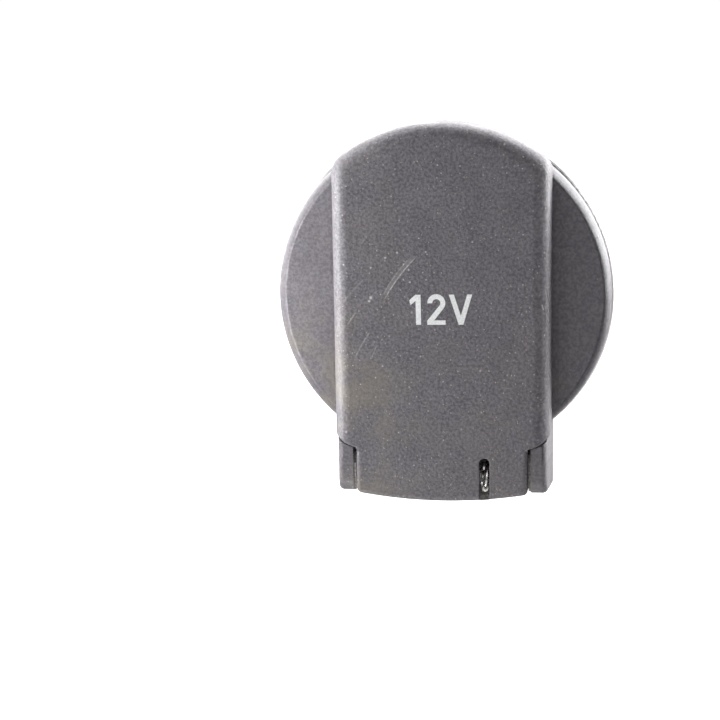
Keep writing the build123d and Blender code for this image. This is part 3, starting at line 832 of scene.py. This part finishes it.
def makeSlotShadeFill():
    g = slotShadeFill
    sections = []
    for i in range(g["columns"] + 1):
        share = -1.0 + 2.0 * i / g["columns"]
        x = g["middleX"] + share * g["halfWidth"]
        height = valueAt(g["tops"], share)
        heights = [height * k / g["rows"] for k in range(g["rows"] + 1)]
        low = g["bottomZ"] + g["sag"] * x**2  # the tongue's low edge is bowed
        faceColumn = []
        for h in heights:
            y = g["frontY"] + valueAt(g["setBack"], h) + rag((x, g["ragLayer"], low + h), g["ragged"])
            faceColumn.append((x, min(y, g["backY"] - g["thinnest"]), low + h))
        backColumn = [(x, g["backY"], low + h) for h in heights[::-1]]
        sections.append(faceColumn + backColumn)
    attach(closedStrip("slot_shade_fill", sections, shadeFillOf["darkShadeFill"]), "flap")


# painted shade: filler pieces in the hinge's shaded gaps and in the low end of the spring's slot
makeGapShadeFill("left_shade_fill", -1, gapShadeFill["leftSet"])
makeGapShadeFill("right_shade_fill", 1, gapShadeFill["rightSet"])
makeSlotShadeFill()
print("shade fill laid")


# stage: a wide pale floor well below the part, which hangs as if clipped into its panel
floorSet = dict(
    level=-0.16, half=3.0, colour=(0.3, 0.3, 0.3, 1.0), rough=0.8, cloudPerMetre=6.0, cloudSpan=(0.3, 0.7),
    cloudLeast=0.97, cast=0.02, seen=1.0, glow=1.1,
)


def grey(level):
    return level, level, level, 1.0


def makeFloor():
    f = floorSet
    mesh = bpy.data.meshes.new("floor")
    corners = [(x * f["half"], y * f["half"], f["level"]) for x, y in ((-1, -1), (1, -1), (1, 1), (-1, 1))]
    mesh.from_pydata(corners, [], [(0, 1, 2, 3)])
    material, tree, shader, place = newMaterial("paleFloor")
    cloud = remap(tree, noise(tree, place, f["cloudPerMetre"]), *f["cloudSpan"], f["cloudLeast"], 1.0)
    plug(tree, shader.inputs["Base Color"], mixColour(tree, cloud, grey(0.0), f["colour"]))
    shader.inputs["Roughness"].default_value = f["rough"]
    direct = addNode(tree, "ShaderNodeLightPath").outputs["Is Camera Ray"]
    plug(tree, shader.inputs["Emission Color"], mixColour(tree, direct, grey(f["cast"]), grey(f["seen"])))
    shader.inputs["Emission Strength"].default_value = f["glow"]
    addPiece("floor", mesh, material)


makeFloor()

# room light: bright behind the part, dimmer in front, white where the camera looks past it
roomLight = dict(
    frontHigh=0.298, frontLow=0.03, frontSpan=(-0.7, 0.7), back=5.35, turnsAt=(0.03, 0.3), seen=1.05,
)


def makeRoomLight():
    room = roomLight
    world = bpy.data.worlds.new("room")
    bpy.context.scene.world = world
    world.use_nodes = True
    tree = world.node_tree
    way = axesOf(tree, addNode(tree, "ShaderNodeTexCoord").outputs["Generated"])
    front = remap(tree, way["Z"], *room["frontSpan"], room["frontLow"], room["frontHigh"])
    behind = remap(tree, way["Y"], *room["turnsAt"])
    level = calc(tree, "MULTIPLY_ADD", behind, calc(tree, "SUBTRACT", room["back"], front), front)
    direct = addNode(tree, "ShaderNodeLightPath").outputs["Is Camera Ray"]
    level = calc(tree, "MULTIPLY_ADD", direct, calc(tree, "SUBTRACT", room["seen"], level), level)
    background = tree.nodes["Background"]
    plug(tree, background.inputs["Strength"], level)
    background.inputs["Color"].default_value = grey(1.0)


# soft lights: place and aim in metres, size in metres, power in watts
softLights = {
    "leftNear": dict(
        place=(-0.034, -0.012, 0.012), aim=(0.0, -0.012, 0.012), size=(0.014, 0.066), power=0.0385,
    ),
    "leftFar": dict(place=(-0.07, -0.03, 0.0), aim=(0.0, -0.008, 0.0), size=(0.05, 0.08), power=0.023),
    "lowLeft": dict(place=(-0.03, -0.06, -0.09), aim=(-0.005, -0.007, -0.012), size=(0.05, 0.05), power=0.06),
    "rightBack": dict(place=(0.09, 0.035, 0.03), aim=(0.012, -0.004, 0.0), size=(0.06, 0.1), power=0.177),
    "topBack": dict(place=(0.02, 0.03, 0.09), aim=(0.004, -0.005, 0.017), size=(0.05, 0.05), power=0.05),
    "frontGlint": dict(place=(0.02, -0.2, 0.12), aim=(0.0, 0.0, -0.01), size=(0.12, 0.12), power=0.08),
}


def makeSoftLights():
    for name, look in softLights.items():
        data = bpy.data.lights.new(name, "AREA")
        data.shape = "RECTANGLE"
        data.size, data.size_y = look["size"]
        data.energy = look["power"]
        lamp = bpy.data.objects.new(name, data)
        lamp.location = look["place"]
        away = Vector(look["aim"]) - Vector(look["place"])
        lamp.rotation_mode = "QUATERNION"
        lamp.rotation_quaternion = away.to_track_quat("-Z", "Y")
        lamp.visible_camera = False
        bpy.context.scene.collection.objects.link(lamp)


makeRoomLight()
makeSoftLights()
bpy.context.scene.view_settings.view_transform = "Standard"
print("light set")

# camera at the photograph's angle, measured from features whose place on the part is known
photoCamera = dict(
    azimuth=5.414, elevation=9.393, roll=-0.589, distance=0.22, pixelsPerMm=8.788,
    originAt=(446.2, 290.25), frameSize=720, sensor=36.0, sees=(0.01, 10.0),
)


def makeCamera():
    c = photoCamera
    turn, tilt, roll = (math.radians(c[k]) for k in ("azimuth", "elevation", "roll"))
    back = Vector((math.sin(turn) * math.cos(tilt), -math.cos(turn) * math.cos(tilt), math.sin(tilt)))
    right = Vector((math.cos(turn), math.sin(turn), 0.0))
    up = back.cross(right)
    right, up = right * math.cos(roll) + up * math.sin(roll), up * math.cos(roll) - right * math.sin(roll)
    place = back * c["distance"]
    perMetre = c["pixelsPerMm"] / mm
    half = c["frameSize"] / 2
    aim = right * ((half - c["originAt"][0]) / perMetre) + up * ((c["originAt"][1] - half) / perMetre)
    back = (place - aim).normalized()
    right = (up.cross(back)).normalized()
    up = back.cross(right)
    data = bpy.data.cameras.new("photoCamera")
    data.sensor_width = c["sensor"]
    data.lens = perMetre * c["distance"] / c["frameSize"] * c["sensor"]
    data.clip_start, data.clip_end = c["sees"]
    camera = bpy.data.objects.new("photoCamera", data)
    camera.matrix_world = Matrix.Translation(place) @ Matrix((right, up, back)).transposed().to_4x4()
    bpy.context.scene.collection.objects.link(camera)
    bpy.context.scene.camera = camera


makeCamera()
print("camera set")
